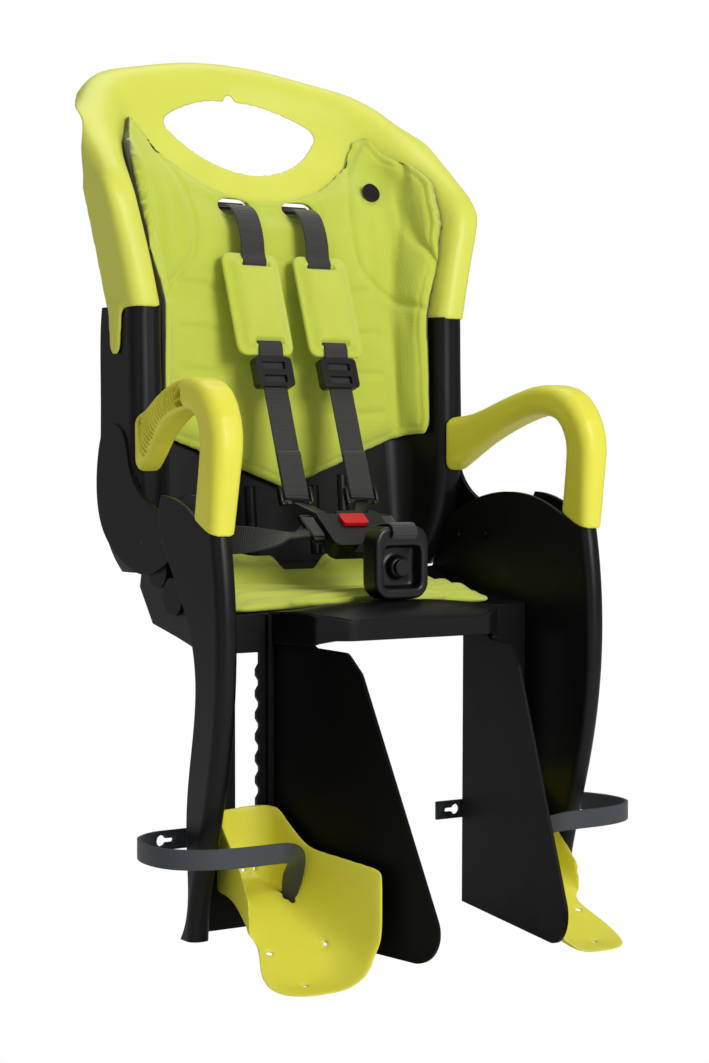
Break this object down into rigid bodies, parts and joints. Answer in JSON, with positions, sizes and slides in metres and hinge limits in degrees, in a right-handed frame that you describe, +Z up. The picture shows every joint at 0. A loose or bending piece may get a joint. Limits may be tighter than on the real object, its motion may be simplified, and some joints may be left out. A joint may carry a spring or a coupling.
{
  "type": "child bike seat",
  "caption": "Child bike seat with a padded high back, carry-handle headrest, looped armrests, buckled harness, leg and wheel guards and height-adjustable footrests.",
  "frame": {"origin": "centre of the flat underside of the mounting block below the seat pan", "axes": "+Z up along the backrest, -Y the way the child faces, +X the child's left"},
  "size_m": [0.4766, 0.4619, 0.7954],
  "materials": {
    "shell_black": "satin",
    "yellow_plastic": "satin",
    "pad_fabric": "matte",
    "webbing": "matte",
    "strap_rubber": "matte",
    "guard_plastic": "satin",
    "fitting_black": "satin",
    "button_red": "gloss",
    "fasteners": "satin"
  },
  "bodies": {
    "seat": {"seat_shell": "shell_black", "backrest_shell": "shell_black", "headrest_shell": "yellow_plastic", "mounting_block": "fitting_black", "back_pad": "pad_fabric", "seat_pad": "pad_fabric", "buckle_base": "fitting_black", "buckle_cover": "fitting_black", "crotch_bracket": "fitting_black", "crotch_knob": "fitting_black", "crotch_strap": "webbing", "pad_buttons": "fitting_black", "block_screws": "fasteners", "guard_screws": "fasteners", "headrest_screws": "fasteners", "ear_screws": "fasteners", "armrest_screws": "fasteners", "wheel_guard_left": "guard_plastic", "wheel_guard_right": "guard_plastic", "armrest_left": "yellow_plastic", "armrest_right": "yellow_plastic", "shoulder_strap_left": "webbing", "shoulder_strap_right": "webbing", "strap_stop_left": "fitting_black", "strap_stop_right": "fitting_black", "shoulder_pad_left": "pad_fabric", "shoulder_pad_right": "pad_fabric", "strap_adjuster_left": "fitting_black", "strap_adjuster_right": "fitting_black", "strap_tongue_left": "fitting_black", "strap_tongue_right": "fitting_black", "waist_strap_left": "webbing", "waist_strap_right": "webbing", "waist_stop_left": "fitting_black", "waist_stop_right": "fitting_black", "waist_tongue_left": "fitting_black", "waist_tongue_right": "fitting_black"},
    "footrest_left": {"footrest_left": "yellow_plastic", "footrest_catch_left": "fitting_black", "catch_screw_left": "fasteners", "foot_strap_left": "strap_rubber"},
    "footrest_right": {"footrest_right": "yellow_plastic", "footrest_catch_right": "fitting_black", "catch_screw_right": "fasteners", "foot_strap_right": "strap_rubber"},
    "release_button": {"buckle_button": "button_red"}
  },
  "joints": [
    {"name": "footrest_left_slide", "type": "slide", "parent": "seat", "child": "footrest_left", "axis": [0, 0, 1], "range_m": [0, 0.108]},
    {"name": "footrest_right_slide", "type": "slide", "parent": "seat", "child": "footrest_right", "axis": [0, 0, 1], "range_m": [0, 0.108]},
    {"name": "buckle_button_press", "type": "slide", "parent": "seat", "child": "release_button", "axis": [0, 0.6157, -0.788], "range_m": [0, 0.003], "stiffness_N_per_m": 400}
  ]
}
